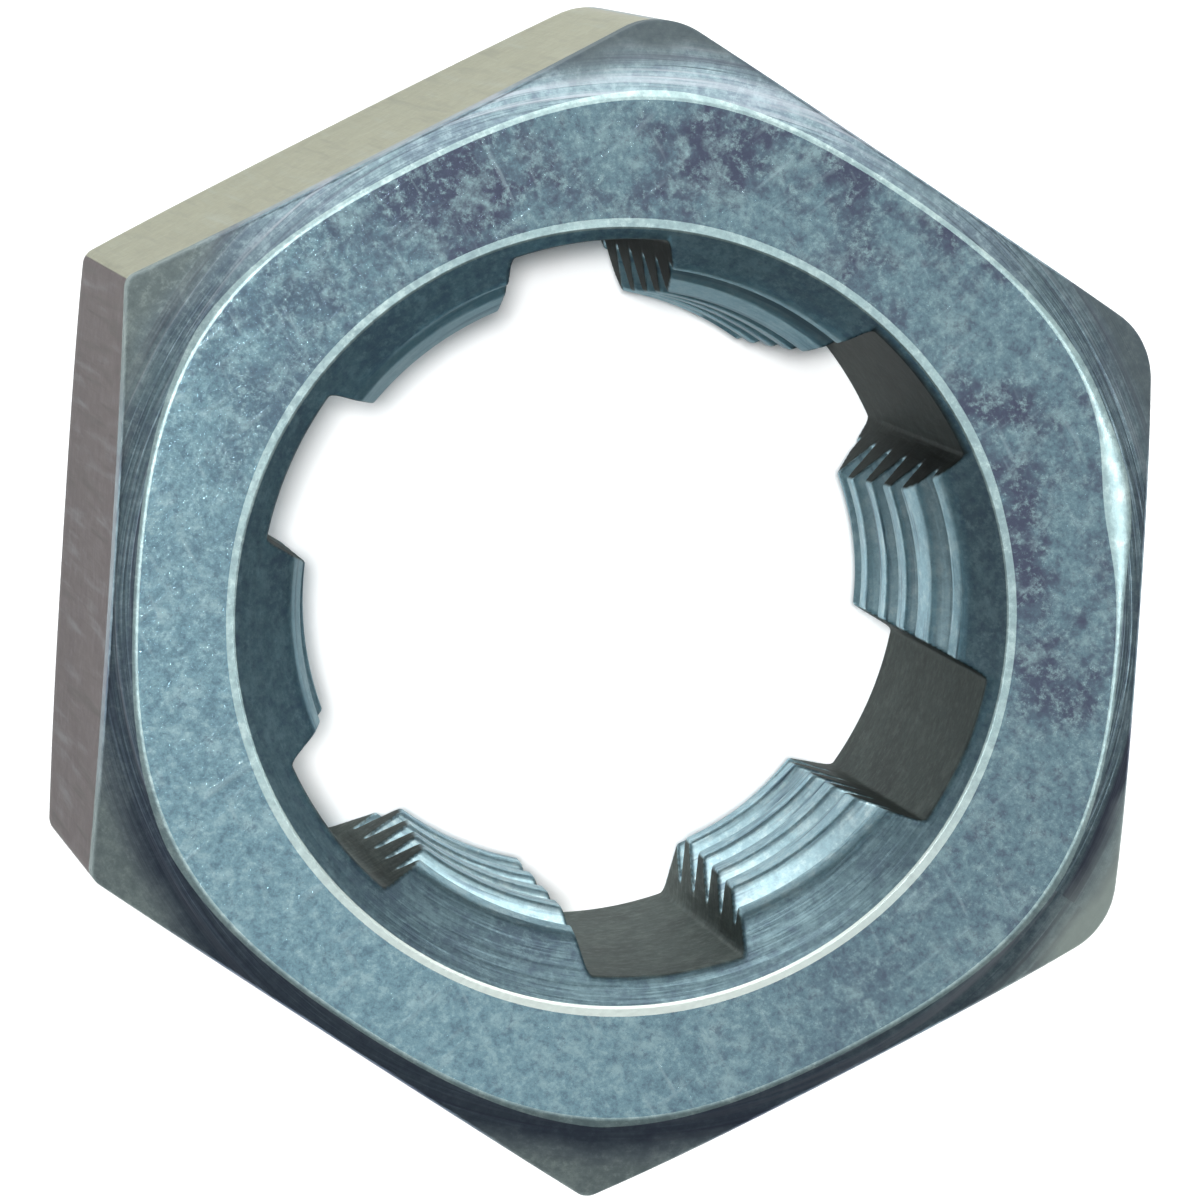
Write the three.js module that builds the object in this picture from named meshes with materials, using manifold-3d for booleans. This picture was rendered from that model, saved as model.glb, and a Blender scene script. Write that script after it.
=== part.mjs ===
// A hexagon nut with an interrupted thread: one piece of steel whose internal thread
// is cut into six lands by six axial flutes.
//
// The nut stands on its rear face, with +Z along the thread axis and the origin at
// the middle of the rear face. Two opposite hexagon corners lie on the X axis.
// Units are millimetres.

import * as THREE from 'three';
import { mergeVertices } from 'three/addons/utils/BufferGeometryUtils.js';
import Module from 'manifold-3d';

// ---- Driving dimensions -----------------------------------------------------

const ACROSS_FLATS = 30;
const THICKNESS = 16;
const THREAD_MAJOR_DIAMETER = 20;
const THREAD_PITCH = 2.5;

const SHARP_CORNER_RADIUS = 0.5; // upright edges of the hexagon at 0, 60 and 120 degrees
const ROUND_CORNER_RADIUS = 2.1; // the other three, which were never filled out sharp
const FACE_RADIUS = 14.55; // mean radius of each flat end face
const FACE_LOBE = 0.24; // how much the end face swells towards each corner
const CHAMFER_ANGLE = THREE.MathUtils.degToRad(28);

const FLUTE_COUNT = 6;
const FLUTE_FLOOR_RADIUS = 10.7;
const FIRST_LAND_ANGLE = THREE.MathUtils.degToRad(40);
const LAND_CREST_ANGLE = THREE.MathUtils.degToRad(25.6);
const LAND_BASE_ANGLE = THREE.MathUtils.degToRad(35.2);

const FRONT_MOUTH_RADIUS = 11.28; // countersink where it meets the front face
const FRONT_MOUTH_DEPTH = 1.3;
const FRONT_MOUTH_OFFSET = new THREE.Vector2(0.08, 0.33); // from the thread's axis
const LEAD_IN_RADIUS = 9.8; // bottom of the countersink, where the lead-in cone starts
const LEAD_IN_DEPTH = 3.2;
const LEAD_IN_CREST_RADIUS = 9.1; // first full crest, still cut a little low
const REAR_MOUTH_RADIUS = 10.85;
const REAR_MOUTH_DEPTH = 3.4;

// ---- Dimensions that follow from them ---------------------------------------

const HALF_FLATS = ACROSS_FLATS / 2;
const CORNER_COUNT = 6;
const CORNER_STEP = (2 * Math.PI) / CORNER_COUNT;
const FLUTE_STEP = (2 * Math.PI) / FLUTE_COUNT;

// The metric thread profile: 60 degrees between flanks, cut off flat an eighth of the
// pitch wide at the root, and five eighths of the full triangle deep.
const THREAD_FLANK_ANGLE = Math.PI / 6;
const THREAD_ROOT_WIDTH = THREAD_PITCH / 8;
const SHARP_THREAD_HEIGHT = THREAD_PITCH / (2 * Math.tan(THREAD_FLANK_ANGLE));
const MAJOR_RADIUS = THREAD_MAJOR_DIAMETER / 2;
const MINOR_RADIUS = MAJOR_RADIUS - (5 / 8) * SHARP_THREAD_HEIGHT;

// ---- How finely round shapes are cut into facets ------------------------------

const FACETS_PER_TURN = 72;
const CORNER_FACETS = 4;
const FLUTE_FLOOR_FACETS = 6;
const THREAD_FACETS_PER_TURN = 36;
const OVERRUN = 1; // how far each cutter reaches past the steel
const THREAD_OVERRUN = 0.25; // the same for the thread groove, past its crests
const WELD_DISTANCE = 1e-4; // vertices closer than this are one vertex

// ---- From three.js geometry to solids and back --------------------------------

const wasm = await Module();
wasm.setup();

function solidFrom(geometry) {
  geometry.deleteAttribute('normal');
  geometry.deleteAttribute('uv');
  const merged = mergeVertices(geometry, WELD_DISTANCE);
  const mesh = new wasm.Mesh({
    numProp: 3,
    vertProperties: merged.attributes.position.array,
    triVerts: new Uint32Array(merged.index.array),
  });
  return new wasm.Manifold(mesh);
}

function geometryFrom(solid) {
  const mesh = solid.getMesh();
  const geometry = new THREE.BufferGeometry();
  geometry.setAttribute('position', new THREE.BufferAttribute(mesh.vertProperties, 3));
  geometry.setIndex(new THREE.BufferAttribute(mesh.triVerts, 1));
  const faceted = geometry.toNonIndexed();
  faceted.computeVertexNormals();
  return faceted;
}

function polar(radius, angle) {
  return new THREE.Vector2(radius * Math.cos(angle), radius * Math.sin(angle));
}

// ---- The nut blank -------------------------------------------------------------

// A hexagon with rounded corners, its first corner on the X axis.
function hexagonOutline() {
  const outline = new THREE.Shape();
  for (let corner = 0; corner < CORNER_COUNT; corner += 1) {
    const sharp = corner < CORNER_COUNT / 2;
    const radius = sharp ? SHARP_CORNER_RADIUS : ROUND_CORNER_RADIUS;
    const direction = corner * CORNER_STEP;
    const centre = polar((HALF_FLATS - radius) / Math.cos(CORNER_STEP / 2), direction);
    outline.absarc(
      centre.x,
      centre.y,
      radius,
      direction - CORNER_STEP / 2,
      direction + CORNER_STEP / 2,
    );
  }
  outline.closePath();
  return outline;
}

function hexagonPrism() {
  return new THREE.ExtrudeGeometry(hexagonOutline(), {
    depth: THICKNESS,
    bevelEnabled: false,
    curveSegments: CORNER_FACETS,
  });
}

// The turned envelope that chamfers both ends. Each end face is a circle that
// swells gently towards the six corners.
function chamferEnvelope() {
  const widest = HALF_FLATS / Math.cos(CORNER_STEP / 2) + OVERRUN;
  const chamferHeight = (widest - FACE_RADIUS) * Math.tan(CHAMFER_ANGLE);
  const profile = [
    new THREE.Vector2(0, 0),
    new THREE.Vector2(FACE_RADIUS, 0),
    new THREE.Vector2(widest, chamferHeight),
    new THREE.Vector2(widest, THICKNESS - chamferHeight),
    new THREE.Vector2(FACE_RADIUS, THICKNESS),
    new THREE.Vector2(0, THICKNESS),
  ];
  const geometry = lathe(profile);
  const position = geometry.attributes.position;
  for (let i = 0; i < position.count; i += 1) {
    const x = position.getX(i);
    const y = position.getY(i);
    const lobe = FACE_LOBE * Math.cos(CORNER_COUNT * Math.atan2(y, x));
    const swelling = 1 + lobe / FACE_RADIUS;
    position.setXY(i, x * swelling, y * swelling);
  }
  return geometry;
}

// A LatheGeometry turned so that its axis is Z.
function lathe(profile) {
  const geometry = new THREE.LatheGeometry(profile, FACETS_PER_TURN);
  geometry.rotateX(Math.PI / 2);
  return geometry;
}

// ---- What is cut out of the blank ------------------------------------------------

// The bore. From the front: a lead-in cone over the first threads, a bore that narrows
// gently to the thread's minor radius, and a rear countersink. Both ends are carried on
// past the faces at their own slopes.
function boreCutter() {
  const leadInHeight = LEAD_IN_DEPTH - FRONT_MOUTH_DEPTH;
  const leadInSlope = (LEAD_IN_RADIUS - LEAD_IN_CREST_RADIUS) / leadInHeight;
  const leadInEndRadius = LEAD_IN_RADIUS + (FRONT_MOUTH_DEPTH + OVERRUN) * leadInSlope;
  const rearSlope = (REAR_MOUTH_RADIUS - MINOR_RADIUS) / REAR_MOUTH_DEPTH;
  const profile = [
    new THREE.Vector2(0, -OVERRUN),
    new THREE.Vector2(REAR_MOUTH_RADIUS + OVERRUN * rearSlope, -OVERRUN),
    new THREE.Vector2(MINOR_RADIUS, REAR_MOUTH_DEPTH),
    new THREE.Vector2(LEAD_IN_CREST_RADIUS, THICKNESS - LEAD_IN_DEPTH),
    new THREE.Vector2(leadInEndRadius, THICKNESS + OVERRUN),
    new THREE.Vector2(0, THICKNESS + OVERRUN),
  ];
  return lathe(profile);
}

// The front countersink: a wide cone, drilled a little off the thread's axis, so the
// flat ring round it is wider on one side. Its tip hangs free inside the bore.
function frontCountersinkCutter() {
  const slope = (FRONT_MOUTH_RADIUS - LEAD_IN_RADIUS) / FRONT_MOUTH_DEPTH;
  const radius = FRONT_MOUTH_RADIUS + OVERRUN * slope;
  const height = radius / slope;
  const geometry = new THREE.ConeGeometry(radius, height, FACETS_PER_TURN);
  geometry.rotateX(-Math.PI / 2);
  geometry.translate(
    FRONT_MOUTH_OFFSET.x,
    FRONT_MOUTH_OFFSET.y,
    THICKNESS + OVERRUN - height / 2,
  );
  return geometry;
}

// One flute between two lands: an arc for its floor, and walls that lean apart
// towards the axis.
function fluteOutline(middleAngle) {
  const halfMouth = (FLUTE_STEP - LAND_CREST_ANGLE) / 2;
  const halfFloor = (FLUTE_STEP - LAND_BASE_ANGLE) / 2;
  const mouthStart = polar(MINOR_RADIUS, middleAngle - halfMouth);
  const mouthEnd = polar(MINOR_RADIUS, middleAngle + halfMouth);
  const outline = new THREE.Shape();
  outline.moveTo(0, 0);
  outline.lineTo(mouthStart.x, mouthStart.y);
  outline.absarc(
    0,
    0,
    FLUTE_FLOOR_RADIUS,
    middleAngle - halfFloor,
    middleAngle + halfFloor,
  );
  outline.lineTo(mouthEnd.x, mouthEnd.y);
  outline.closePath();
  return outline;
}

function fluteCutter(middleAngle) {
  const geometry = new THREE.ExtrudeGeometry(fluteOutline(middleAngle), {
    depth: THICKNESS + 2 * OVERRUN,
    bevelEnabled: false,
    curveSegments: FLUTE_FLOOR_FACETS,
  });
  geometry.translate(0, 0, -OVERRUN);
  return geometry;
}

// The right-hand thread groove. Its section is drawn flat, radius along x and height
// along y, and extruded straight; then each step of the extrusion is wound on by its
// share of a turn and lifted by its share of the pitch. The section's height is turned
// over on the way, which keeps the faces pointing outwards.
function threadCutter() {
  const mouthRadius = MINOR_RADIUS - THREAD_OVERRUN;
  const halfRoot = THREAD_ROOT_WIDTH / 2;
  const halfMouth = halfRoot + (MAJOR_RADIUS - mouthRadius) * Math.tan(THREAD_FLANK_ANGLE);
  const section = new THREE.Shape([
    new THREE.Vector2(mouthRadius, -halfMouth),
    new THREE.Vector2(MAJOR_RADIUS, -halfRoot),
    new THREE.Vector2(MAJOR_RADIUS, halfRoot),
    new THREE.Vector2(mouthRadius, halfMouth),
  ]);
  const turns = Math.ceil(THICKNESS / THREAD_PITCH) + 2;
  const steps = turns * THREAD_FACETS_PER_TURN;
  const geometry = new THREE.ExtrudeGeometry(section, {
    depth: turns,
    steps,
    bevelEnabled: false,
  });
  const position = geometry.attributes.position;
  for (let i = 0; i < position.count; i += 1) {
    const radius = position.getX(i);
    const height = -position.getY(i);
    const turn = position.getZ(i);
    const place = polar(radius, 2 * Math.PI * turn);
    position.setXYZ(i, place.x, place.y, height + (turn - 1) * THREAD_PITCH);
  }
  return geometry;
}

// ---- The nut -----------------------------------------------------------------------

function nutBody() {
  let steel = solidFrom(hexagonPrism()).intersect(solidFrom(chamferEnvelope()));
  steel = steel.subtract(solidFrom(boreCutter()));
  steel = steel.subtract(solidFrom(frontCountersinkCutter()));
  steel = steel.subtract(solidFrom(threadCutter()));
  for (let flute = 0; flute < FLUTE_COUNT; flute += 1) {
    const middleAngle = FIRST_LAND_ANGLE + (flute + 0.5) * FLUTE_STEP;
    steel = steel.subtract(solidFrom(fluteCutter(middleAngle)));
  }
  return geometryFrom(steel);
}

const zincPlatedSteel = new THREE.MeshStandardMaterial({
  color: 0x8298a3,
  metalness: 1,
  roughness: 0.45,
});

const nut = new THREE.Mesh(nutBody(), zincPlatedSteel);
nut.name = 'nut_body';

const part = new THREE.Group();
part.name = 'interrupted_thread_nut';
part.add(nut);

export default part;
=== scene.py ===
"""Looks of a hexagon nut with an interrupted thread, lying on a pale floor.

The CAD nut is replaced by one fine closed mesh of the same nut. Its surface is a grid:
columns run round the thread axis, and rows run round the section, up the bore, out
over the front face, down the flats and back in over the rear face.
"""

import math
from collections import namedtuple

import bpy
import numpy as np
from mathutils import Matrix, Vector


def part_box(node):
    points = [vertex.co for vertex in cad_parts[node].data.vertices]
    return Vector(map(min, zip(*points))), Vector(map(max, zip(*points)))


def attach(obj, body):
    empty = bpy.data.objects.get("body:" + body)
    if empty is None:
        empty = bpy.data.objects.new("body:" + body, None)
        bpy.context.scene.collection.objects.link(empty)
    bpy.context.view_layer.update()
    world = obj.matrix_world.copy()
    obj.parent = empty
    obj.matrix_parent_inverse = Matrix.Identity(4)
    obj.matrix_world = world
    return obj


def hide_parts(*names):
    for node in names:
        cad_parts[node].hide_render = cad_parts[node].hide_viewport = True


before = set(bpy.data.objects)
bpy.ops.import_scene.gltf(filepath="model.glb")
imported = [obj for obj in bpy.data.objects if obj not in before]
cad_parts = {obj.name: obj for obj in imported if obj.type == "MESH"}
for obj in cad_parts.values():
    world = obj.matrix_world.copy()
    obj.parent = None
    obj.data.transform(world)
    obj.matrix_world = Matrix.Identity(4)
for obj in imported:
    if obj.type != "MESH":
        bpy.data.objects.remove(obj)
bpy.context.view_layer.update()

MM = 0.001
TURN = 2 * math.pi

# ---- Sizes of the nut, in metres ---------------------------------------------

NUT_LOW, NUT_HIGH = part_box("nut_body")
ACROSS_FLATS = NUT_HIGH.y - NUT_LOW.y
THICKNESS = NUT_HIGH.z - NUT_LOW.z
HALF_FLATS = ACROSS_FLATS / 2
CORNERS = 6
CORNER_STEP = TURN / CORNERS
SHARP_CORNER_RADIUS = 0.5 * MM
ROUND_CORNER_RADIUS = 2.1 * MM
CORNER_RADII = [SHARP_CORNER_RADIUS] * 3 + [ROUND_CORNER_RADIUS] * 3

FACE_RADIUS = 14.55 * MM
FACE_LOBE = 0.24 * MM
CHAMFER_START_SLOPE = math.tan(math.radians(22))
CHAMFER_END_SLOPE = math.tan(math.radians(36))
CHAMFER_REACH = 2.8 * MM

MAJOR_RADIUS = 10 * MM
PITCH = 2.5 * MM
FLANK_ANGLE = math.radians(30)
SHARP_THREAD_HEIGHT = PITCH / (2 * math.tan(FLANK_ANGLE))
MINOR_RADIUS = MAJOR_RADIUS - 5 / 8 * SHARP_THREAD_HEIGHT
HALF_ROOT_WIDTH = PITCH / 16

FLUTES = 6
FLUTE_STEP = TURN / FLUTES
FLUTE_FLOOR_RADIUS = 10.7 * MM
FIRST_LAND_ANGLE = math.radians(40)
HALF_CREST_ANGLE = math.radians(12.8)
HALF_BASE_ANGLE = math.radians(17.6)
WALL_END_ANGLE = 1.2 * HALF_BASE_ANGLE
BEYOND_THE_NUT = 1000 * MM

MOUTH_RADIUS = 11.28 * MM
MOUTH_DEPTH = 1.3 * MM
MOUTH_OFFSET = (0.08 * MM, 0.33 * MM)
LEAD_IN_RADIUS = 9.8 * MM
LEAD_IN_DEPTH = 3.2 * MM
LEAD_IN_CREST_RADIUS = 9.1 * MM
REAR_MOUTH_RADIUS = 10.85 * MM
REAR_MOUTH_DEPTH = 3.4 * MM

# ---- How far edges are rounded off, and how fine the grid is -------------------

CUT_ROUNDING = 0.16 * MM
FLUTE_CORNER_ROUNDING = 0.35 * MM
FACE_EDGE_ROUNDING = 0.06 * MM
WORN_EDGE_ROUNDING = 0.42 * MM
WORN_EDGE_ANGLE = math.radians(225.5)
WORN_EDGE_REACH = math.radians(8)
FLAT_EDGE_ROUNDING = 0.12 * MM
CUT_BLEND = 0.08 * MM

RIM_BEVEL = 0.030 * MM
RIM_BEVEL_SWING = 0.006 * MM
RIM_BEVEL_WIDEST = math.radians(100)
RIM_BEVEL_FALL = 1.4
BEVEL_HOLD = 0.012 * MM
BEVEL_ROWS = (0.15, 0.5, 0.85)

# Columns of the grid. Their distances are angles in radians, and a corner's reach is a
# share of the arc that rounds it.
EVEN_COLUMNS = 360
WALL_COLUMNS = 20
WALL_COLUMNS_INSIDE = 0.01
WALL_COLUMNS_OUTSIDE = 0.02
CORNER_COLUMNS = 13
CORNER_COLUMNS_REACH = 0.6
CLOSEST_EVEN_COLUMN = 0.004

# Rows of the grid.
ROWS_PER_PITCH = 24
END_ROWS_LEFT_OUT = 2
CLIMB_STARTS = 1.5 * MM
CORNER_ROWS = 6
FACE_ROWS = 14
CHAMFER_ROWS = 12
FLAT_ROWS = 16
SHARP_EDGE = math.radians(50)

MATERIAL_NAMES = ("face", "edge", "chamfer", "bore", "plain_flat", "shaded_mauve_flat", "lit_olive_flat")
# The six flats in turn, from +X toward +Y.
# Mauve and olive are the flats' own tints, but the mauve flat is also darkened as painted shade
# and the olive flat brightened as a painted reflection.
FLAT_NAMES = ("shaded_mauve_flat",) + ("plain_flat",) * (CORNERS - 2) + ("lit_olive_flat",)
SHARE_NAMES = ("flute_share", "countersink_share")


# ---- Shapes of the cuts, as radius from the thread axis -------------------------

def smooth_max(a, b, reach):
    """The larger of a and b, with their crossing rounded off where they are within reach."""
    blend = np.clip(1 - np.abs(a - b) / reach, 0, None)
    return np.maximum(a, b) + blend**2 * reach / 4


def smooth_min(a, b, reach):
    """The smaller of a and b, rounded off in the same way."""
    return -smooth_max(-a, -b, reach)


def from_nearest(angle, first, step):
    """Signed angle from the nearest of the directions first, first + step, and so on."""
    return (angle - first + step / 2) % step - step / 2


def hexagon_radius(angle):
    """Outline of the flats. The corners lie at 0, 60, 120... degrees and are arcs."""
    corner = np.round(angle / CORNER_STEP).astype(int) % CORNERS
    rounding = np.array(CORNER_RADII)[corner]
    from_corner = np.abs(from_nearest(angle, 0, CORNER_STEP))
    flat = HALF_FLATS / np.cos(CORNER_STEP / 2 - from_corner)
    centre = (HALF_FLATS - rounding) / math.cos(CORNER_STEP / 2)
    across = np.minimum(centre * np.sin(from_corner), rounding)
    arc = centre * np.cos(from_corner) + np.sqrt(rounding**2 - across**2)
    arc_ends_across = centre * math.sin(CORNER_STEP / 2)
    arc_ends = CORNER_STEP / 2 - np.arctan2(arc_ends_across, HALF_FLATS)
    return np.where(from_corner < arc_ends, arc, flat)


def face_radius(angle):
    """Rim of the flat end face: a circle that swells towards each corner."""
    return FACE_RADIUS + FACE_LOBE * np.cos(CORNERS * angle)


def face_edge_rounding(angle):
    """The rim of the face is nearly sharp, but for one stretch that is worn rounder."""
    away = from_nearest(angle, WORN_EDGE_ANGLE, TURN) / WORN_EDGE_REACH
    return FACE_EDGE_ROUNDING + (WORN_EDGE_ROUNDING - FACE_EDGE_ROUNDING) * np.exp(-(away**2))


def chamfer_drop(reach):
    """How far the chamfer has fallen at this distance outside the face: a shallow dome."""
    bend = (CHAMFER_END_SLOPE - CHAMFER_START_SLOPE) / (2 * CHAMFER_REACH)
    return CHAMFER_START_SLOPE * reach + bend * reach**2


def flute_radius(angle):
    """Flute floor and its two walls. Over the middle of a land it is 0, so it cuts nothing.

    A wall's formula only holds near the wall, so it is used from half the crest's angle on.
    """
    t = np.abs(from_nearest(angle, FIRST_LAND_ANGLE, FLUTE_STEP))
    crest = np.array((math.cos(HALF_CREST_ANGLE), math.sin(HALF_CREST_ANGLE))) * MINOR_RADIUS
    base = np.array((math.cos(HALF_BASE_ANGLE), math.sin(HALF_BASE_ANGLE))) * FLUTE_FLOOR_RADIUS
    along = base - crest
    wall = (crest[0] * along[1] - crest[1] * along[0]) / (
        np.cos(t) * along[1] - np.sin(t) * along[0]
    )
    wall = np.where(t > WALL_END_ANGLE, BEYOND_THE_NUT, wall)
    wall = np.where(t < HALF_CREST_ANGLE / 2, 0, wall)
    return smooth_min(wall, np.full_like(t, FLUTE_FLOOR_RADIUS), FLUTE_CORNER_ROUNDING)


def groove_radius(angle, height):
    """The right-hand thread groove, with its root at the major radius."""
    from_groove = np.abs(from_nearest(height / PITCH, angle / TURN, 1)) * PITCH
    flank = MAJOR_RADIUS - (from_groove - HALF_ROOT_WIDTH) / math.tan(FLANK_ANGLE)
    return smooth_min(flank, np.full_like(flank, MAJOR_RADIUS), CUT_ROUNDING)


def bore_radius(height):
    """Rear countersink, threaded bore that narrows to the rear, and lead-in cone."""
    rear = REAR_MOUTH_RADIUS - height * (REAR_MOUTH_RADIUS - MINOR_RADIUS) / REAR_MOUTH_DEPTH
    lead_in_foot = THICKNESS - LEAD_IN_DEPTH
    taper = (LEAD_IN_CREST_RADIUS - MINOR_RADIUS) / (lead_in_foot - REAR_MOUTH_DEPTH)
    bore = MINOR_RADIUS + np.clip(height - REAR_MOUTH_DEPTH, 0, None) * taper
    lead_slope = (LEAD_IN_RADIUS - LEAD_IN_CREST_RADIUS) / (LEAD_IN_DEPTH - MOUTH_DEPTH)
    lead_in = LEAD_IN_CREST_RADIUS + (height - lead_in_foot) * lead_slope
    return smooth_max(smooth_max(rear, bore, CUT_ROUNDING), lead_in, CUT_ROUNDING)


def mouth_radius(angle, height):
    """The front countersink, a cone drilled slightly off the thread's axis."""
    slope = (MOUTH_RADIUS - LEAD_IN_RADIUS) / MOUTH_DEPTH
    radius = MOUTH_RADIUS + (height - THICKNESS) * slope
    ahead = MOUTH_OFFSET[0] * np.cos(angle) + MOUTH_OFFSET[1] * np.sin(angle)
    aside = MOUTH_OFFSET[1] * np.cos(angle) - MOUTH_OFFSET[0] * np.sin(angle)
    return ahead + np.sqrt(np.clip(radius**2 - aside**2, 0, None))


def opening(angle, height):
    """Radius of the whole opening."""
    radius = mouth_radius(angle, height)
    for cut in (groove_radius(angle, height), bore_radius(height), flute_radius(angle)):
        radius = smooth_max(radius, cut, CUT_ROUNDING)
    return radius


def cut_shares(angle, height):
    """How much each place belongs to a flute and to a countersink, from 0 to 1."""
    thread = np.maximum(groove_radius(angle, height), bore_radius(height))
    mouth = mouth_radius(angle, height)
    flute = flute_radius(angle) - np.maximum(thread, mouth)
    countersink = mouth - thread
    return [np.clip(0.5 + over / CUT_BLEND, 0, 1) for over in (flute, countersink)]


# ---- The grid -------------------------------------------------------------------

def column_angles():
    """Even steps, and closer ones where the flute walls and the hexagon's corners are."""
    even = np.arange(EVEN_COLUMNS) * TURN / EVEN_COLUMNS
    middles = FIRST_LAND_ANGLE + FLUTE_STEP * np.arange(FLUTES)
    inside = HALF_CREST_ANGLE - WALL_COLUMNS_INSIDE
    outside = HALF_BASE_ANGLE + WALL_COLUMNS_OUTSIDE
    wall = np.linspace(inside, outside, WALL_COLUMNS)
    walls = (middles[:, None] + np.concatenate([-wall, wall])).ravel()
    near = [walls]
    for corner, rounding in enumerate(CORNER_RADII):
        reach = rounding / HALF_FLATS * CORNER_COLUMNS_REACH
        near.append(corner * CORNER_STEP + np.linspace(-reach, reach, CORNER_COLUMNS))
    near = np.concatenate(near) % TURN
    apart = np.min(np.abs(from_nearest(even[:, None] - near[None, :], 0, TURN)), axis=1)
    return np.sort(np.concatenate([even[apart > CLOSEST_EVEN_COLUMN], near]))


def thread_rows(angle):
    """Heights up the bore. Over each land the rows climb with the helix."""
    step = PITCH / ROWS_PER_PITCH
    start = (PITCH * FIRST_LAND_ANGLE / TURN) % step
    left_out = step * END_ROWS_LEFT_OUT
    base = np.arange(start + left_out, THICKNESS - left_out, step)[:, None]
    t = from_nearest(angle, FIRST_LAND_ANGLE, FLUTE_STEP)
    past_land = (FLUTE_STEP / 2 - np.abs(t)) / (FLUTE_STEP / 2 - HALF_BASE_ANGLE)
    climb = np.where(np.abs(t) < HALF_BASE_ANGLE, t, np.sign(t) * HALF_BASE_ANGLE * past_land)
    to_end = np.clip(np.minimum(base, THICKNESS - base) / CLIMB_STARTS, 0, 1)
    return base + PITCH * climb[None, :] / TURN * to_end


def moved(start, target, distance):
    """A row moved this far from start toward target."""
    way = target - start
    return start + way / np.linalg.norm(way, axis=0) * distance


def rounded_corner(before, corner, after, rounding):
    """Rows that round a corner off: a curve that starts and ends this far from it."""
    start = moved(corner, before, rounding)
    end = moved(corner, after, rounding)
    return [
        (1 - s) ** 2 * start + 2 * s * (1 - s) * corner + s**2 * end
        for s in np.linspace(0, 1, CORNER_ROWS)
    ]


def rim_bevel(before, corner, after, angle):
    """Rows over the flat bevel between countersink and face, with its edges held tight."""
    on_face = RIM_BEVEL + RIM_BEVEL_SWING * np.cos(angle - RIM_BEVEL_WIDEST)
    on_cone = on_face * RIM_BEVEL_FALL
    low = moved(corner, before, on_cone)
    high = moved(corner, after, on_face)
    rows = [moved(corner, before, on_cone + BEVEL_HOLD), low]
    rows += [low + (high - low) * s for s in BEVEL_ROWS]
    return rows + [high, moved(corner, after, on_face + BEVEL_HOLD)]


def between(start, end, count):
    """Rows spaced evenly between two rows, without the ends."""
    return [start + (end - start) * s for s in np.linspace(0, 1, count + 2)[1:-1]]


def end_rows(angle, inner_foot, inner_rim):
    """Rows over one end of the nut, from the mouth of the bore to the flat's edge.

    Height is counted down from the end face, so both ends use the same rows.
    """
    face_rim = np.stack([face_radius(angle), np.zeros_like(angle)])
    hexagon = hexagon_radius(angle)
    reach = hexagon - face_rim[0]
    chamfer = [
        np.stack([face_rim[0] + reach * s, chamfer_drop(reach * s)])
        for s in np.linspace(0, 1, CHAMFER_ROWS)
    ]
    flat_top = chamfer[-1]
    mouth_corner = rim_bevel(inner_foot, inner_rim, face_rim, angle)
    face_corner = rounded_corner(inner_rim, face_rim, chamfer[1], face_edge_rounding(angle))
    below = flat_top + np.array([[0], [1 * MM]])
    flat_corner = rounded_corner(chamfer[-2], flat_top, below, FLAT_EDGE_ROUNDING)
    middle = between(mouth_corner[-1], face_corner[0], FACE_ROWS)
    slope_start = face_corner[-1][0]
    slope_end = flat_corner[0][0]
    slope = [
        np.stack([radius, chamfer_drop(radius - face_rim[0])])
        for radius in between(slope_start, slope_end, CHAMFER_ROWS)
    ]
    groups = (
        ("edge", mouth_corner),
        ("face", middle),
        ("edge", face_corner),
        ("chamfer", slope),
        ("chamfer", flat_corner),
    )
    rows = [row for _, group in groups for row in group]
    names = [name for name, group in groups for _ in group]
    return rows, names


def nut_rows(angle):
    """Every row of the grid as radius and height, with the material of what follows it."""
    heights = thread_rows(angle)
    bore = [np.stack([opening(angle, height), height]) for height in heights]

    def mouth_at(height):
        height = np.full_like(angle, height)
        return np.stack([opening(angle, height), height])

    def from_end(row):
        return np.stack([row[0], THICKNESS - row[1]])

    front, front_names = end_rows(angle, from_end(bore[-1]), from_end(mouth_at(THICKNESS)))
    rear, rear_names = end_rows(angle, bore[0], mouth_at(0))
    front = [from_end(row) for row in front]
    flat = between(front[-1], rear[-1], FLAT_ROWS)
    rows = bore + front + flat + rear[::-1]
    names = ["bore"] * len(bore) + front_names + ["flat"] * len(flat) + rear_names[::-1]
    return rows, names


def material_numbers(names, angle):
    """The material of each place on the grid. The six flats have materials of their own."""
    flats = [FLAT_NAMES[int(side)] for side in angle // CORNER_STEP]
    return np.array([
        [MATERIAL_NAMES.index(flat if name == "flat" else name) for flat in flats]
        for name in names
    ])


def nut_mesh():
    angle = column_angles()
    rows, names = nut_rows(angle)
    grid = np.stack(rows)
    x = grid[:, 0] * np.cos(angle)
    y = grid[:, 0] * np.sin(angle)
    points = np.stack([x, y, grid[:, 1]], axis=-1).reshape(-1, 3)

    columns = len(angle)
    row = np.arange(len(rows))[:, None] * columns
    column = np.arange(columns)[None, :]
    next_row = np.roll(row, -1, axis=0)
    next_column = np.roll(column, -1, axis=1)
    corners = (row + column, next_row + column, next_row + next_column, row + next_column)
    quads = np.stack(corners, axis=-1).reshape(-1, 4)

    mesh = bpy.data.meshes.new("nut_fine")
    mesh.from_pydata(points.tolist(), [], quads.tolist())
    mesh.polygons.foreach_set("material_index", material_numbers(names, angle).ravel())
    shares = cut_shares(angle, grid[:, 1])
    for name, share in zip(SHARE_NAMES, shares):
        attribute = mesh.attributes.new(name, "FLOAT", "POINT")
        attribute.data.foreach_set("value", share.ravel())
    mesh.shade_smooth()
    mesh.set_sharp_from_angle(angle=SHARP_EDGE)
    mesh.update()
    return mesh


# ---- Directions -------------------------------------------------------------------

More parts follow.
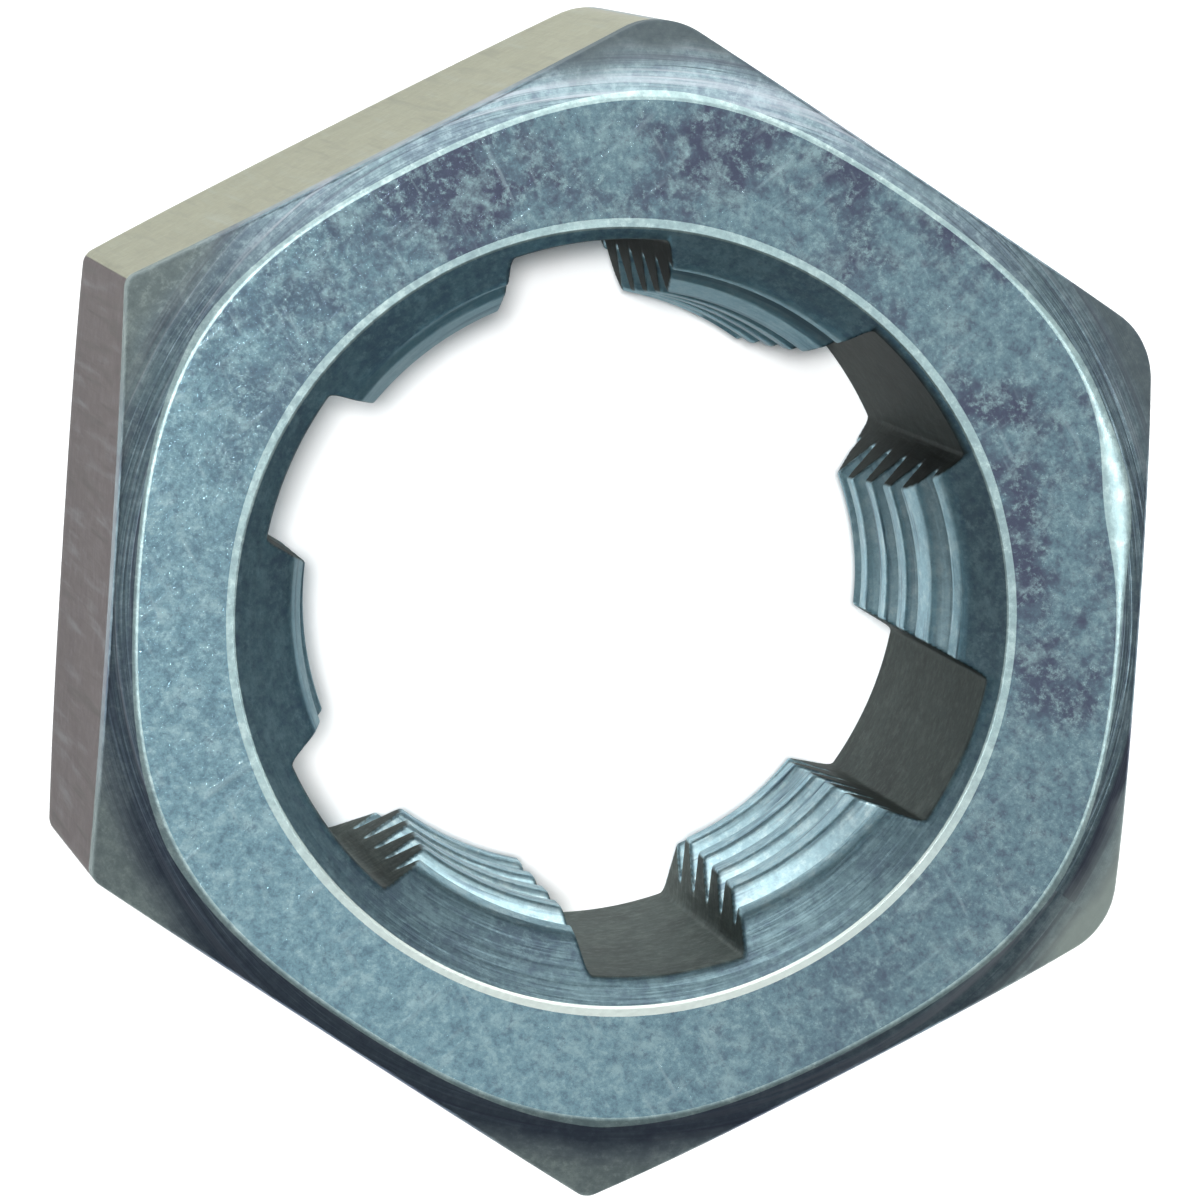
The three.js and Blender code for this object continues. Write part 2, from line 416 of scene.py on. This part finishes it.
def direction(azimuth, elevation):
    """Unit vector for angles in degrees: azimuth from +X toward +Y, then up."""
    azimuth, elevation = math.radians(azimuth), math.radians(elevation)
    return Vector((
        math.cos(elevation) * math.cos(azimuth),
        math.cos(elevation) * math.sin(azimuth),
        math.sin(elevation),
    ))


# ---- Materials ------------------------------------------------------------------

# A Mix node for colours has its factor, its two colours and its result at these sockets.
MIX_FACTOR = 0
MIX_FIRST = 6
MIX_SECOND = 7
MIX_RESULT = 2

AXIS_RADIUS = 10 * MM

# The colours of one stretch of passivated zinc.
Tones = namedtuple("Tones", "base dark pale")

FACE_TONES = Tones((0.27, 0.42, 0.49), (0.14, 0.16, 0.24), (0.45, 0.63, 0.67))
PALER_FACE_TONES = Tones((0.35, 0.57, 0.66), (0.16, 0.26, 0.35), (0.58, 0.82, 0.88))
FACE_SCRATCH = (0.62, 0.80, 0.85)

# These edge tones are paler than the face's, which paints in part of the bright highlight lines
# along the rims.
EDGE_TONES = Tones((0.44, 0.60, 0.61), (0.30, 0.41, 0.44), (0.64, 0.80, 0.79))
# Painted highlight: the cream colour of the inner rim on the side whose bevel faces the key
# light.
PAINTED_RIM_HIGHLIGHT = (0.78, 0.86, 0.81)
EDGE_ROUGHNESS = 0.38

TURNED_TONES = Tones((0.21, 0.30, 0.34), (0.13, 0.17, 0.23), (0.33, 0.44, 0.49))
PALE_TURNING_MARK = (0.44, 0.48, 0.54)
DARK_TURNING_MARK = (0.12, 0.14, 0.19)
# Painted dark reflection: the turned chamfer is darkened on one side with this colour.
CHAMFER_PAINTED_SHADE = (0.10, 0.12, 0.18)
MATT_TONES = Tones((0.29, 0.35, 0.35), (0.20, 0.25, 0.26), (0.38, 0.45, 0.44))
CHAMFER_DARKER_SIDE = (0.09, 0.12, 0.15)
PALER_CHAMFER = (0.53, 0.60, 0.56)

PLAIN_TONES = Tones((0.35, 0.41, 0.43), (0.28, 0.32, 0.35), (0.41, 0.48, 0.50))
# Painted shade in the mauve flat's darker tones and weak grazing tint, and a painted reflection
# in the olive flat's brighter ones.
SHADED_MAUVE_TONES = Tones((0.31, 0.30, 0.31), (0.25, 0.24, 0.26), (0.37, 0.36, 0.38))
LIT_OLIVE_TONES = Tones((0.40, 0.41, 0.37), (0.33, 0.34, 0.32), (0.45, 0.47, 0.43))
DIM_STREAK = (0.18, 0.20, 0.21)
BRIGHT_STREAK = (0.56, 0.62, 0.64)

THREAD_TONES = Tones((0.52, 0.75, 0.83), (0.35, 0.52, 0.60), (0.72, 0.90, 0.94))
DARK_THREAD_MARK = (0.22, 0.32, 0.40)
# Painted shade for the thread lands on one side of the bore.
THREAD_PAINTED_SHADE = (0.16, 0.25, 0.29)
COUNTERSINK_TONES = Tones((0.25, 0.38, 0.44), (0.16, 0.22, 0.30), (0.36, 0.53, 0.59))
FLUTE_TONES = Tones((0.16, 0.19, 0.18), (0.11, 0.12, 0.12), (0.24, 0.28, 0.26))
# Painted shade for the flutes on one side of the bore.
FLUTE_PAINTED_SHADE = (0.02, 0.02, 0.02)


class Nodes:
    """A short way to write a material's node tree."""

    def __init__(self, name):
        self.material = bpy.data.materials.new(name)
        self.material.use_nodes = True
        self.tree = self.material.node_tree
        self.shader = self.tree.nodes["Principled BSDF"]

    def add(self, kind, settings=None, **inputs):
        node = self.tree.nodes.new(kind)
        for key, value in (settings or {}).items():
            setattr(node, key, value)
        for key, value in inputs.items():
            self.feed(node.inputs[key.replace("_", " ")], value)
        return node

    def feed(self, socket, value):
        if isinstance(value, bpy.types.NodeSocket):
            self.tree.links.new(value, socket)
        else:
            socket.default_value = value

    def math(self, operation, a, b=0.0):
        node = self.add("ShaderNodeMath", {"operation": operation})
        self.feed(node.inputs[0], a)
        self.feed(node.inputs[1], b)
        return node.outputs[0]

    def ramp(self, value, low, high, start=0.0, end=1.0):
        """The start value at low and beyond, the end value at high, and straight between."""
        node = self.add("ShaderNodeMapRange", Value=value, From_Min=low, From_Max=high,
                        To_Min=start, To_Max=end)
        return node.outputs[0]

    def mix(self, factor, a, b):
        node = self.add("ShaderNodeMix", {"data_type": "RGBA"})
        self.feed(node.inputs[MIX_FACTOR], factor)
        self.feed(node.inputs[MIX_FIRST], (*a, 1.0) if isinstance(a, tuple) else a)
        self.feed(node.inputs[MIX_SECOND], (*b, 1.0) if isinstance(b, tuple) else b)
        return node.outputs[MIX_RESULT]

    def noise(self, vector, per_mm, detail=3.0, roughness=0.6):
        node = self.add(
            "ShaderNodeTexNoise",
            Vector=vector,
            Scale=per_mm / MM,
            Detail=detail,
            Roughness=roughness,
        )
        return node.outputs[0]

    def place(self):
        return self.add("ShaderNodeTexCoord").outputs["Object"]

    def xyz(self, vector):
        return self.add("ShaderNodeSeparateXYZ", Vector=vector).outputs

    def vector(self, x, y, z):
        node = self.add("ShaderNodeCombineXYZ")
        for socket, value in zip(node.inputs, (x, y, z)):
            self.feed(socket, value)
        return node.outputs[0]

    def stretched(self, vector, x=1.0, y=1.0, z=1.0):
        """A place with its axes scaled. Scaled down, marks grow long along that axis."""
        parts = [
            part if scale == 1.0 else self.math("MULTIPLY", part, scale)
            for part, scale in zip(self.xyz(vector), (x, y, z))
        ]
        return self.vector(*parts)

    def toward(self, place, azimuth):
        """How far out a place lies in this direction, in degrees from +X toward +Y."""
        node = self.add("ShaderNodeVectorMath", {"operation": "DOT_PRODUCT"})
        self.feed(node.inputs[0], place)
        self.feed(node.inputs[1], direction(azimuth, 0))
        return node.outputs["Value"]

    def round_axis(self, place):
        """Place as (distance round a 10 mm circle, radius, height), for turned marks."""
        x, y, z = self.xyz(place)
        x_squared = self.math("MULTIPLY", x, x)
        y_squared = self.math("MULTIPLY", y, y)
        radius = self.math("SQRT", self.math("ADD", x_squared, y_squared))
        angle = self.math("ARCTAN2", y, x)
        return self.math("MULTIPLY", angle, AXIS_RADIUS), radius, z

    def bump(self, height, depth, under=None):
        node = self.add("ShaderNodeBump", Height=height, Strength=1.0, Distance=depth)
        if under is not None:
            self.feed(node.inputs["Normal"], under)
        return node.outputs[0]

    def finish(self, color, roughness, normal, grazing=(0.6, 0.6, 0.6)):
        """Metal of this colour. Grazing tints what it reflects at a glancing angle."""
        self.shader.inputs["Metallic"].default_value = 1.0
        self.shader.inputs["Specular Tint"].default_value = (*grazing, 1)
        self.feed(self.shader.inputs["Base Color"], color)
        self.feed(self.shader.inputs["Roughness"], roughness)
        self.feed(self.shader.inputs["Normal"], normal)
        return self.material


def mottled(nodes, place, tones, clouds=0.5):
    """Colour of passivated zinc: cloudy patches, and a grain of dark and pale."""
    cloud = nodes.noise(place, per_mm=0.35, detail=5.0, roughness=0.7)
    patch = nodes.noise(place, per_mm=1.1, detail=4.0, roughness=0.7)
    grain = nodes.noise(place, per_mm=3.1, detail=6.0, roughness=0.8)
    cloudy = nodes.math("MULTIPLY", nodes.ramp(cloud, 0.46, 0.60), clouds)
    color = nodes.mix(cloudy, tones.base, tones.dark)
    color = nodes.mix(nodes.ramp(patch, 0.52, 0.72), color, tones.pale)
    color = nodes.mix(nodes.ramp(grain, 0.51, 0.66), color, tones.pale)
    return nodes.mix(nodes.ramp(grain, 0.49, 0.36, end=0.65), color, tones.dark)


def scratches(nodes, place, turn, per_mm):
    """Faint straight marks in the plane of the face, turned by this angle in radians."""
    turned = nodes.add("ShaderNodeMapping", Vector=place)
    turned.inputs["Rotation"].default_value = (0, 0, turn)
    along = nodes.stretched(turned.outputs[0], x=0.12)
    return nodes.ramp(nodes.noise(along, per_mm, detail=2.0), 0.62, 0.76)


def face_material():
    """Mottled blue zinc, paler on one side of the ring and cloudier on the other."""
    nodes = Nodes("zinc_face")
    place = nodes.place()
    paler = nodes.ramp(nodes.toward(place, 63), -2 * MM, 12 * MM)
    clouds = nodes.ramp(nodes.toward(place, 270), -12 * MM, 6 * MM)
    tones = Tones(*(nodes.mix(paler, a, b) for a, b in zip(FACE_TONES, PALER_FACE_TONES)))
    color = mottled(nodes, place, tones, clouds)
    one_way = scratches(nodes, place, turn=0.5, per_mm=3.0)
    other_way = scratches(nodes, place, turn=1.9, per_mm=2.5)
    marks = nodes.math("MAXIMUM", one_way, other_way)
    color = nodes.mix(nodes.math("MULTIPLY", marks, 0.4), color, FACE_SCRATCH)
    grain = nodes.noise(place, per_mm=3.6, detail=4.0, roughness=0.75)
    roughness = nodes.ramp(nodes.noise(place, per_mm=1.2), 0, 1, start=0.13, end=0.21)
    normal = nodes.bump(grain, depth=0.014 * MM)
    normal = nodes.bump(marks, depth=0.003 * MM, under=normal)
    return nodes.finish(color, roughness, normal)


def edge_material():
    """Paler than the faces it joins, which paints in part of the rims' highlights, and with a
    painted highlight on one side of the inner rim.
    """
    nodes = Nodes("zinc_edge")
    place = nodes.place()
    color = mottled(nodes, place, EDGE_TONES)
    _, radius, _ = nodes.round_axis(place)
    inner = nodes.ramp(radius, 13 * MM, 12 * MM)
    # Painted highlight: the inner rim is whitened towards 125 degrees, where the key light
    # catches its bevel.
    highlight_side = nodes.ramp(nodes.toward(place, 125), 4 * MM, 11 * MM)
    color = nodes.mix(nodes.math("MULTIPLY", inner, highlight_side), color, PAINTED_RIM_HIGHLIGHT)
    normal = nodes.bump(nodes.noise(place, per_mm=4.0), depth=0.01 * MM)
    return nodes.finish(color, EDGE_ROUGHNESS, normal)


def turned_chamfer(nodes, place, marks):
    """Colour of the chamfer next to the face, with pale and dark turning marks, and a painted
    dark reflection on one side.
    """
    color = mottled(nodes, place, TURNED_TONES)
    color = nodes.mix(nodes.ramp(marks, 0.54, 0.68), color, PALE_TURNING_MARK)
    color = nodes.mix(nodes.ramp(marks, 0.47, 0.36), color, DARK_TURNING_MARK)
    # Painted shade: the chamfer is darkened towards 100 degrees, standing in for the dim sky it
    # reflects there.
    shaded_side = nodes.ramp(nodes.toward(place, 100), 5 * MM, 12 * MM, end=0.65)
    return nodes.mix(shaded_side, color, CHAMFER_PAINTED_SHADE)


def matt_chamfer(nodes, place):
    """Colour of the chamfer's corners: darker towards 270 degrees, and pale at the corner at
    180.
    """
    color = mottled(nodes, place, MATT_TONES)
    # Darker towards 270 degrees.
    darker_side = nodes.ramp(nodes.toward(place, 270), 4 * MM, 12 * MM, end=0.6)
    color = nodes.mix(darker_side, color, CHAMFER_DARKER_SIDE)
    paler = nodes.ramp(nodes.toward(place, 180), 10 * MM, 15 * MM, end=0.75)
    return nodes.mix(paler, color, PALER_CHAMFER)


def chamfer_material():
    """Turned next to the face, with marks that run round, and matt out at the corners."""
    nodes = Nodes("zinc_chamfer")
    place = nodes.place()
    around, radius, _ = nodes.round_axis(place)
    marks_at = nodes.vector(nodes.math("MULTIPLY", around, 0.03), radius, 0.0)
    marks = nodes.noise(marks_at, per_mm=1.9, detail=4.0, roughness=0.65)
    uneven = nodes.math("MULTIPLY", nodes.noise(place, per_mm=0.3), 1.6 * MM)
    outward = nodes.ramp(nodes.math("ADD", radius, uneven), 16.2 * MM, 17.2 * MM)
    turned = turned_chamfer(nodes, place, marks)
    color = nodes.mix(outward, turned, matt_chamfer(nodes, place))
    roughness = nodes.ramp(outward, 0, 1, start=0.32, end=0.70)
    normal = nodes.bump(marks, depth=0.06 * MM)
    return nodes.finish(color, roughness, normal)


def flat_material(name, tones, grazing):
    """A wrench flat, drawn lengthwise."""
    nodes = Nodes(name)
    place = nodes.place()
    drawn = nodes.noise(nodes.stretched(place, z=0.05), per_mm=2.6, detail=4.0)
    color = mottled(nodes, place, tones)
    color = nodes.mix(nodes.ramp(drawn, 0.46, 0.30, end=0.6), color, DIM_STREAK)
    color = nodes.mix(nodes.ramp(drawn, 0.56, 0.72, end=0.3), color, BRIGHT_STREAK)
    roughness = nodes.ramp(drawn, 0, 1, start=0.22, end=0.46)
    normal = nodes.bump(drawn, depth=0.03 * MM)
    return nodes.finish(color, roughness, normal, grazing)


def plain_flat_material():
    return flat_material("zinc_flat_plain", PLAIN_TONES, grazing=(0.45, 0.45, 0.45))


# Painted shade: a darker copy of the flat, for a flat that reflects shade.
def shaded_mauve_material():
    return flat_material("zinc_flat_mauve_shaded", SHADED_MAUVE_TONES, grazing=(0.21, 0.19, 0.18))


# Painted reflection: a brighter copy of the flat, for a flat that reflects a brighter area.
def lit_olive_material():
    return flat_material("zinc_flat_olive_lit", LIT_OLIVE_TONES, grazing=(0.49, 0.49, 0.39))


def thread_color(nodes, place, turned):
    """Bright thread with dark turning marks, and painted shade over the lands on one side of
    the bore.
    """
    color = mottled(nodes, place, THREAD_TONES)
    color = nodes.mix(nodes.ramp(turned, 0.55, 0.68), color, DARK_THREAD_MARK)
    # Painted shade: lands towards 323 degrees are darkened, on the side of the bore that the
    # rim shades from the key light.
    thread_shade = nodes.ramp(nodes.toward(place, 323), -4 * MM, 5 * MM, end=0.65)
    return nodes.mix(thread_shade, color, THREAD_PAINTED_SHADE)


def flute_color(nodes, place):
    """Dull flutes, with painted shade that makes them nearly black on one side."""
    color = mottled(nodes, place, FLUTE_TONES)
    # Painted shade: flutes towards 270 degrees are darkened, on the side of the bore that the
    # rim shades from the key light.
    flute_shade = nodes.ramp(nodes.toward(place, 270), -8 * MM, 10 * MM, end=0.65)
    return nodes.mix(flute_shade, color, FLUTE_PAINTED_SHADE)


def bore_material():
    """Thread, countersink and flutes, shared out by two attributes of the mesh."""
    nodes = Nodes("zinc_bore")
    place = nodes.place()
    flute, sink = [
        nodes.add("ShaderNodeAttribute", {"attribute_name": name}).outputs["Fac"]
        for name in SHARE_NAMES
    ]
    around, radius, height = nodes.round_axis(place)
    along = nodes.vector(nodes.math("MULTIPLY", around, 0.06), radius, height)
    turned = nodes.noise(along, per_mm=2.6)
    broached = nodes.noise(nodes.stretched(place, z=0.1), per_mm=3.0)

    color = thread_color(nodes, place, turned)
    color = nodes.mix(sink, color, mottled(nodes, place, COUNTERSINK_TONES))
    color = nodes.mix(flute, color, flute_color(nodes, place))
    roughness = nodes.ramp(flute, 0, 1, start=0.40, end=0.52)
    normal = nodes.bump(nodes.mix(flute, turned, broached), depth=0.025 * MM)
    return nodes.finish(color, roughness, normal, grazing=(0.4, 0.4, 0.4))


# ---- Floor, light and camera ------------------------------------------------------

FLOOR_HALF_WIDTH = 1.5
FLOOR_GAP = 0.01 * MM
FLOOR_COLOR = (0.96, 0.96, 0.96, 1)
FLOOR_ROUGHNESS = 0.8

WHITE = (1.0, 1.0, 1.0)
WARM_WHITE = (1.0, 0.98, 0.94)
COOL_WHITE = (0.97, 0.99, 1.0)
SKY_COLOR = (0.93, 0.98, 1.0, 1)
SKY_MIDDLE_REACH = math.radians(20)
SKY_EDGE_REACH = math.radians(68)
SKY_BRIGHTEST = 0.60
SKY_DIMMEST = 0.15

CAMERA_AZIMUTH = 2.21
CAMERA_ELEVATION = 79.79
CAMERA_ROLL = math.radians(121.15)
CAMERA_DISTANCE = 261.7 * MM
CAMERA_ASIDE = -0.926 * MM
CAMERA_ABOVE = 0.325 * MM
CAMERA_LENS = 272.7
CAMERA_SENSOR = 36


def make_floor():
    half = FLOOR_HALF_WIDTH
    mesh = bpy.data.meshes.new("floor")
    corners = [(-half, -half, 0), (half, -half, 0), (half, half, 0), (-half, half, 0)]
    mesh.from_pydata(corners, [], [(0, 1, 2, 3)])
    floor = bpy.data.objects.new("floor", mesh)
    floor.location.z = NUT_LOW.z - FLOOR_GAP
    bpy.context.collection.objects.link(floor)
    paint = bpy.data.materials.new("floor_paint")
    paint.use_nodes = True
    shader = paint.node_tree.nodes["Principled BSDF"]
    shader.inputs["Base Color"].default_value = FLOOR_COLOR
    shader.inputs["Roughness"].default_value = FLOOR_ROUGHNESS
    mesh.materials.append(paint)


def softbox(name, toward, distance, width, height, radiance, color):
    """An area light that stands in this direction from the nut and faces it."""
    data = bpy.data.lights.new(name, "AREA")
    data.shape = "RECTANGLE"
    data.size = width
    data.size_y = height
    data.energy = radiance * math.pi * width * height
    data.color = color
    light = bpy.data.objects.new(name, data)
    light.location = toward * distance
    light.rotation_mode = "QUATERNION"
    light.rotation_quaternion = toward.to_track_quat("Z", "Y")
    bpy.context.collection.objects.link(light)
    return light


def make_lights():
    """A lamp that only whitens the floor, a weak glint, a wide key and a small side light."""
    floor_light = softbox("floor_light", direction(azimuth=2, elevation=79.8), distance=0.7,
                          width=0.04, height=0.04, radiance=800, color=WHITE)
    floor_light.visible_glossy = False
    softbox("glint", direction(azimuth=2, elevation=79), distance=0.7,
            width=0.07, height=0.07, radiance=52, color=WHITE)
    softbox("key", direction(azimuth=298, elevation=41), distance=0.6,
            width=0.80, height=0.30, radiance=1.9, color=WARM_WHITE)
    softbox("side", direction(azimuth=213, elevation=54), distance=0.6,
            width=0.16, height=0.16, radiance=6, color=COOL_WHITE)


def make_sky():
    """A dome that is brightest at one place high up and dims away from it."""
    world = bpy.data.worlds.new("studio")
    bpy.context.scene.world = world
    world.use_nodes = True
    nodes = world.node_tree.nodes
    link = world.node_tree.links.new
    nearness = nodes.new("ShaderNodeVectorMath")
    nearness.operation = "DOT_PRODUCT"
    nearness.inputs[1].default_value = direction(azimuth=300, elevation=70)
    link(nodes.new("ShaderNodeTexCoord").outputs["Generated"], nearness.inputs[0])
    brightness = nodes.new("ShaderNodeMapRange")
    link(nearness.outputs["Value"], brightness.inputs["Value"])
    brightness.inputs["From Min"].default_value = math.cos(SKY_EDGE_REACH)
    brightness.inputs["From Max"].default_value = math.cos(SKY_MIDDLE_REACH)
    brightness.inputs["To Min"].default_value = SKY_DIMMEST
    brightness.inputs["To Max"].default_value = SKY_BRIGHTEST
    background = nodes["Background"]
    background.inputs["Color"].default_value = SKY_COLOR
    link(brightness.outputs[0], background.inputs["Strength"])


def make_camera():
    """Looks down on the front face, tilted a little, and rolled so a corner points down."""
    back = direction(CAMERA_AZIMUTH, CAMERA_ELEVATION)
    level = direction(CAMERA_AZIMUTH + 90, 0)
    climb = back.cross(level)
    right = level * math.cos(CAMERA_ROLL) + climb * math.sin(CAMERA_ROLL)
    up = climb * math.cos(CAMERA_ROLL) - level * math.sin(CAMERA_ROLL)
    face_middle = Vector((0, 0, NUT_HIGH.z))
    stand = face_middle + back * CAMERA_DISTANCE + right * CAMERA_ASIDE + up * CAMERA_ABOVE
    data = bpy.data.cameras.new("camera")
    data.lens = CAMERA_LENS
    data.sensor_width = CAMERA_SENSOR
    camera = bpy.data.objects.new("camera", data)
    axes = Matrix((right, up, back)).transposed().to_4x4()
    camera.matrix_world = Matrix.Translation(stand) @ axes
    bpy.context.collection.objects.link(camera)
    bpy.context.scene.camera = camera


# ---- Scene --------------------------------------------------------------------------

def make_nut():
    mesh = nut_mesh()
    makers = {
        "face": face_material,
        "edge": edge_material,
        "chamfer": chamfer_material,
        "bore": bore_material,
        "plain_flat": plain_flat_material,
        "shaded_mauve_flat": shaded_mauve_material,
        "lit_olive_flat": lit_olive_material,
    }
    for name in MATERIAL_NAMES:
        mesh.materials.append(makers[name]())
    nut = bpy.data.objects.new("nut_fine", mesh)
    bpy.context.collection.objects.link(nut)
    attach(nut, "root")
    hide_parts("nut_body")


make_camera()
make_nut()
make_floor()
make_lights()
make_sky()

bpy.context.scene.view_settings.view_transform = "Standard"
